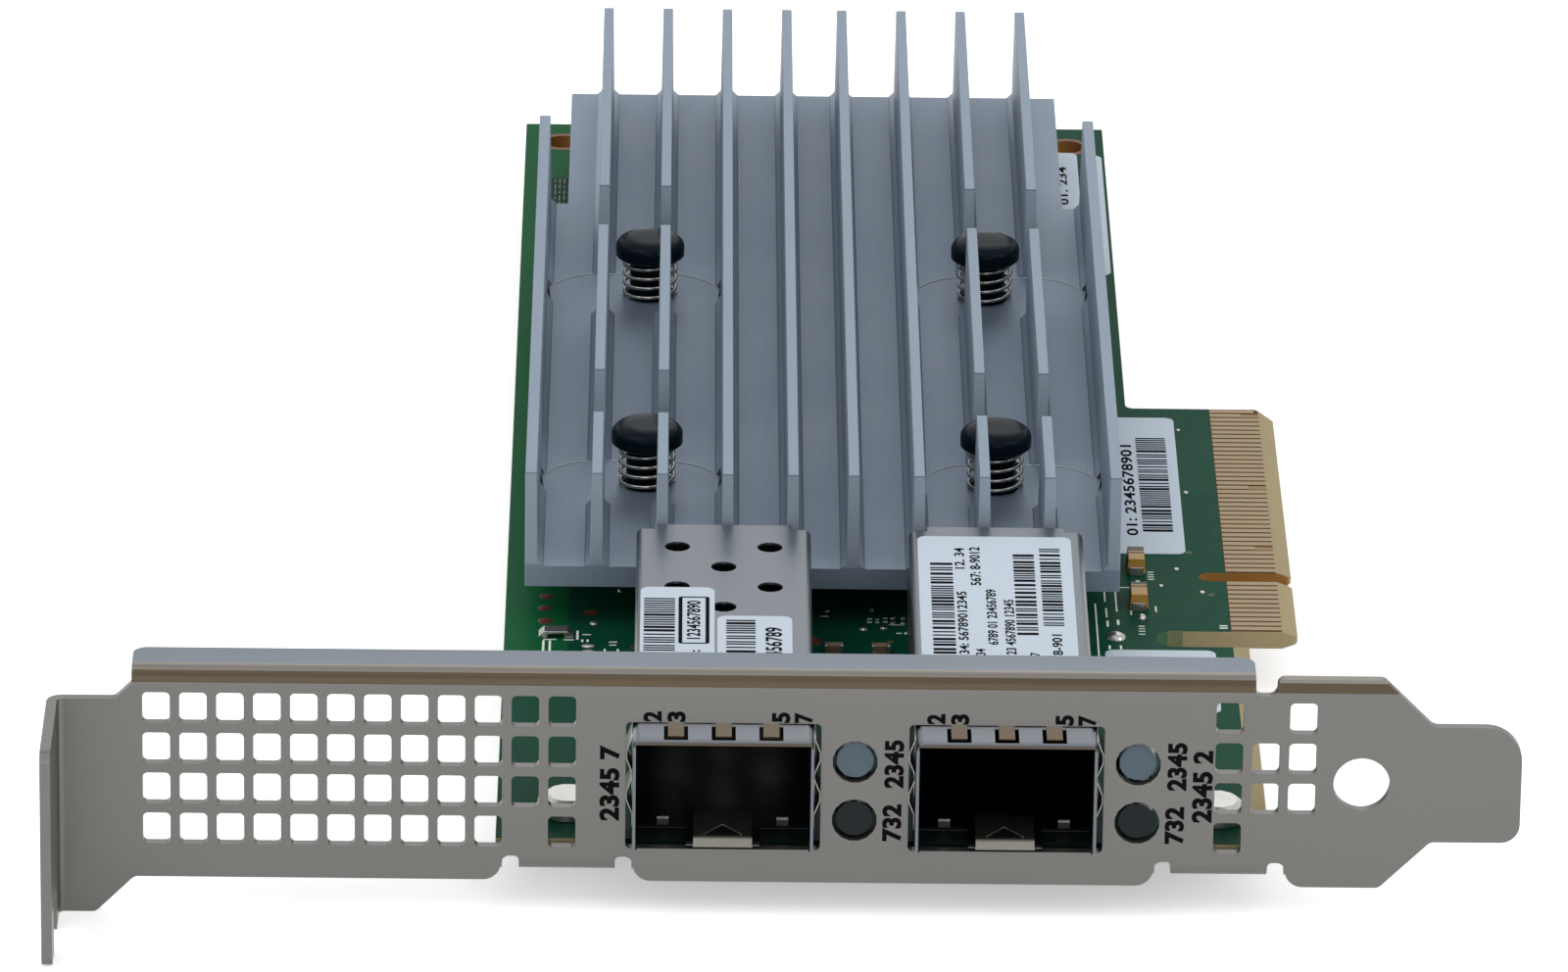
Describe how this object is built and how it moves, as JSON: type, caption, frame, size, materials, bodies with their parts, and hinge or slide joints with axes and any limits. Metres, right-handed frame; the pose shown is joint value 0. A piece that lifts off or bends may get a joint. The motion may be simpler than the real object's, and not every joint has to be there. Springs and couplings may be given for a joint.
{
  "type": "network interface card",
  "caption": "Network card: board with edge connector, pluggable transceiver cages, finned heatsink on spring-loaded pins and a bent, vented steel bracket.",
  "frame": {"origin": "on the centre line of the edge connector's key notch, at the tip of its fingers, half way through the board", "axes": "+X out of the edge connector into the slot, +Y along the board away from the bracket, +Z out of the component side"},
  "size_m": [0.1201, 0.1805, 0.0216],
  "materials": {
    "board_laminate": "green solder mask",
    "gold_plating": "hard gold plating",
    "screw_steel": "zinc plated",
    "bracket_steel": "satin plated sheet",
    "label_paper": "white paper",
    "cage_nickel": "satin nickel plated sheet",
    "gasket_copper_alloy": "bare spring alloy",
    "black_moulding": "fine moulded",
    "clear_plastic": "clear moulding",
    "anodised_aluminium": "matt extruded",
    "spring_steel": "bright drawn wire",
    "substrate_laminate": "matt",
    "lid_nickel": "matt nickel plated",
    "thermal_pad": "soft matt",
    "led_resin": "milky resin",
    "ferrite": "matt pressed powder",
    "chip_moulding": "matt epoxy",
    "oscillator_can": "satin",
    "capacitor_resin": "moulded resin",
    "tinned_metal": "tin plated",
    "ceramic": "fired ceramic"
  },
  "bodies": {
    "root": {"bracket": "bracket_steel", "bracket_screws": "screw_steel", "cage_label_left_port_2": "label_paper", "cage_label_port_1": "label_paper", "cage_label_right_port_2": "label_paper", "cage_port_1": "cage_nickel", "cage_port_2": "cage_nickel", "ceramic_capacitor_ends": "tinned_metal", "ceramic_capacitors": "ceramic", "circuit_board": "board_laminate", "clock_oscillator": "oscillator_can", "connector_contacts_port_1": "gold_plating", "connector_contacts_port_2": "gold_plating", "connector_port_1": "black_moulding", "connector_port_2": "black_moulding", "contacts_component_side": "gold_plating", "contacts_solder_side": "gold_plating", "controller_lid": "lid_nickel", "controller_substrate": "substrate_laminate", "current_shunt": "tinned_metal", "edge_label": "label_paper", "flash_memory": "chip_moulding", "front_label": "label_paper", "heatsink": "anodised_aluminium", "light_pipe_port_1": "clear_plastic", "light_pipe_port_2": "clear_plastic", "pin_spring_left_front": "spring_steel", "pin_spring_left_rear": "spring_steel", "pin_spring_right_front": "spring_steel", "pin_spring_right_rear": "spring_steel", "power_inductors": "ferrite", "push_pin_left_front": "black_moulding", "push_pin_left_rear": "black_moulding", "push_pin_right_front": "black_moulding", "push_pin_right_rear": "black_moulding", "rear_label": "label_paper", "serial_label": "label_paper", "spring_gasket_port_1": "gasket_copper_alloy", "spring_gasket_port_2": "gasket_copper_alloy", "status_leds": "led_resin", "tantalum_capacitors": "capacitor_resin", "tantalum_terminals": "tinned_metal", "thermal_pad": "thermal_pad", "voltage_regulators": "chip_moulding"}
  },
  "joints": []
}
